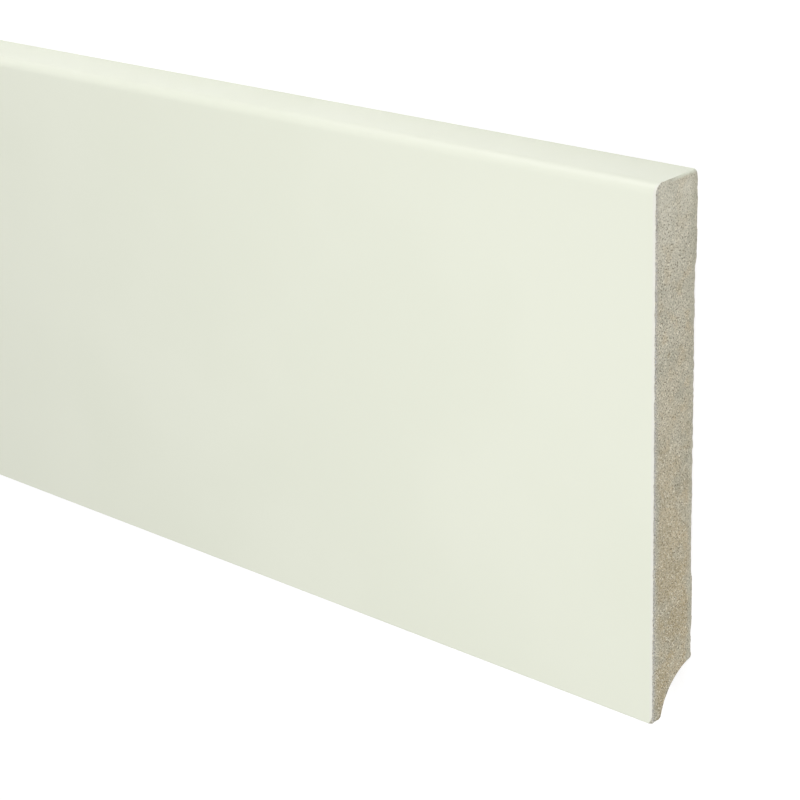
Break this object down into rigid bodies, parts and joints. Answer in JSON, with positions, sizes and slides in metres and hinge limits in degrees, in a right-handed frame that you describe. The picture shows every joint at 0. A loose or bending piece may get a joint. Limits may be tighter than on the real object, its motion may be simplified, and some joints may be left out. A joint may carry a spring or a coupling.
{
  "type": "skirting board",
  "caption": "Straight length of painted MDF skirting board with a rounded top front edge and a milled relief behind its floor edge.",
  "frame": {"origin": "middle of the flat back, on the surface that the board lies on", "axes": "+X along the length, +Y from the floor edge to the rounded top edge, +Z out of the painted face"},
  "size_m": [2.4, 0.15, 0.018],
  "materials": {
    "painted_mdf": "satin"
  },
  "bodies": {
    "root": {"skirting_board": "painted_mdf"}
  },
  "joints": []
}
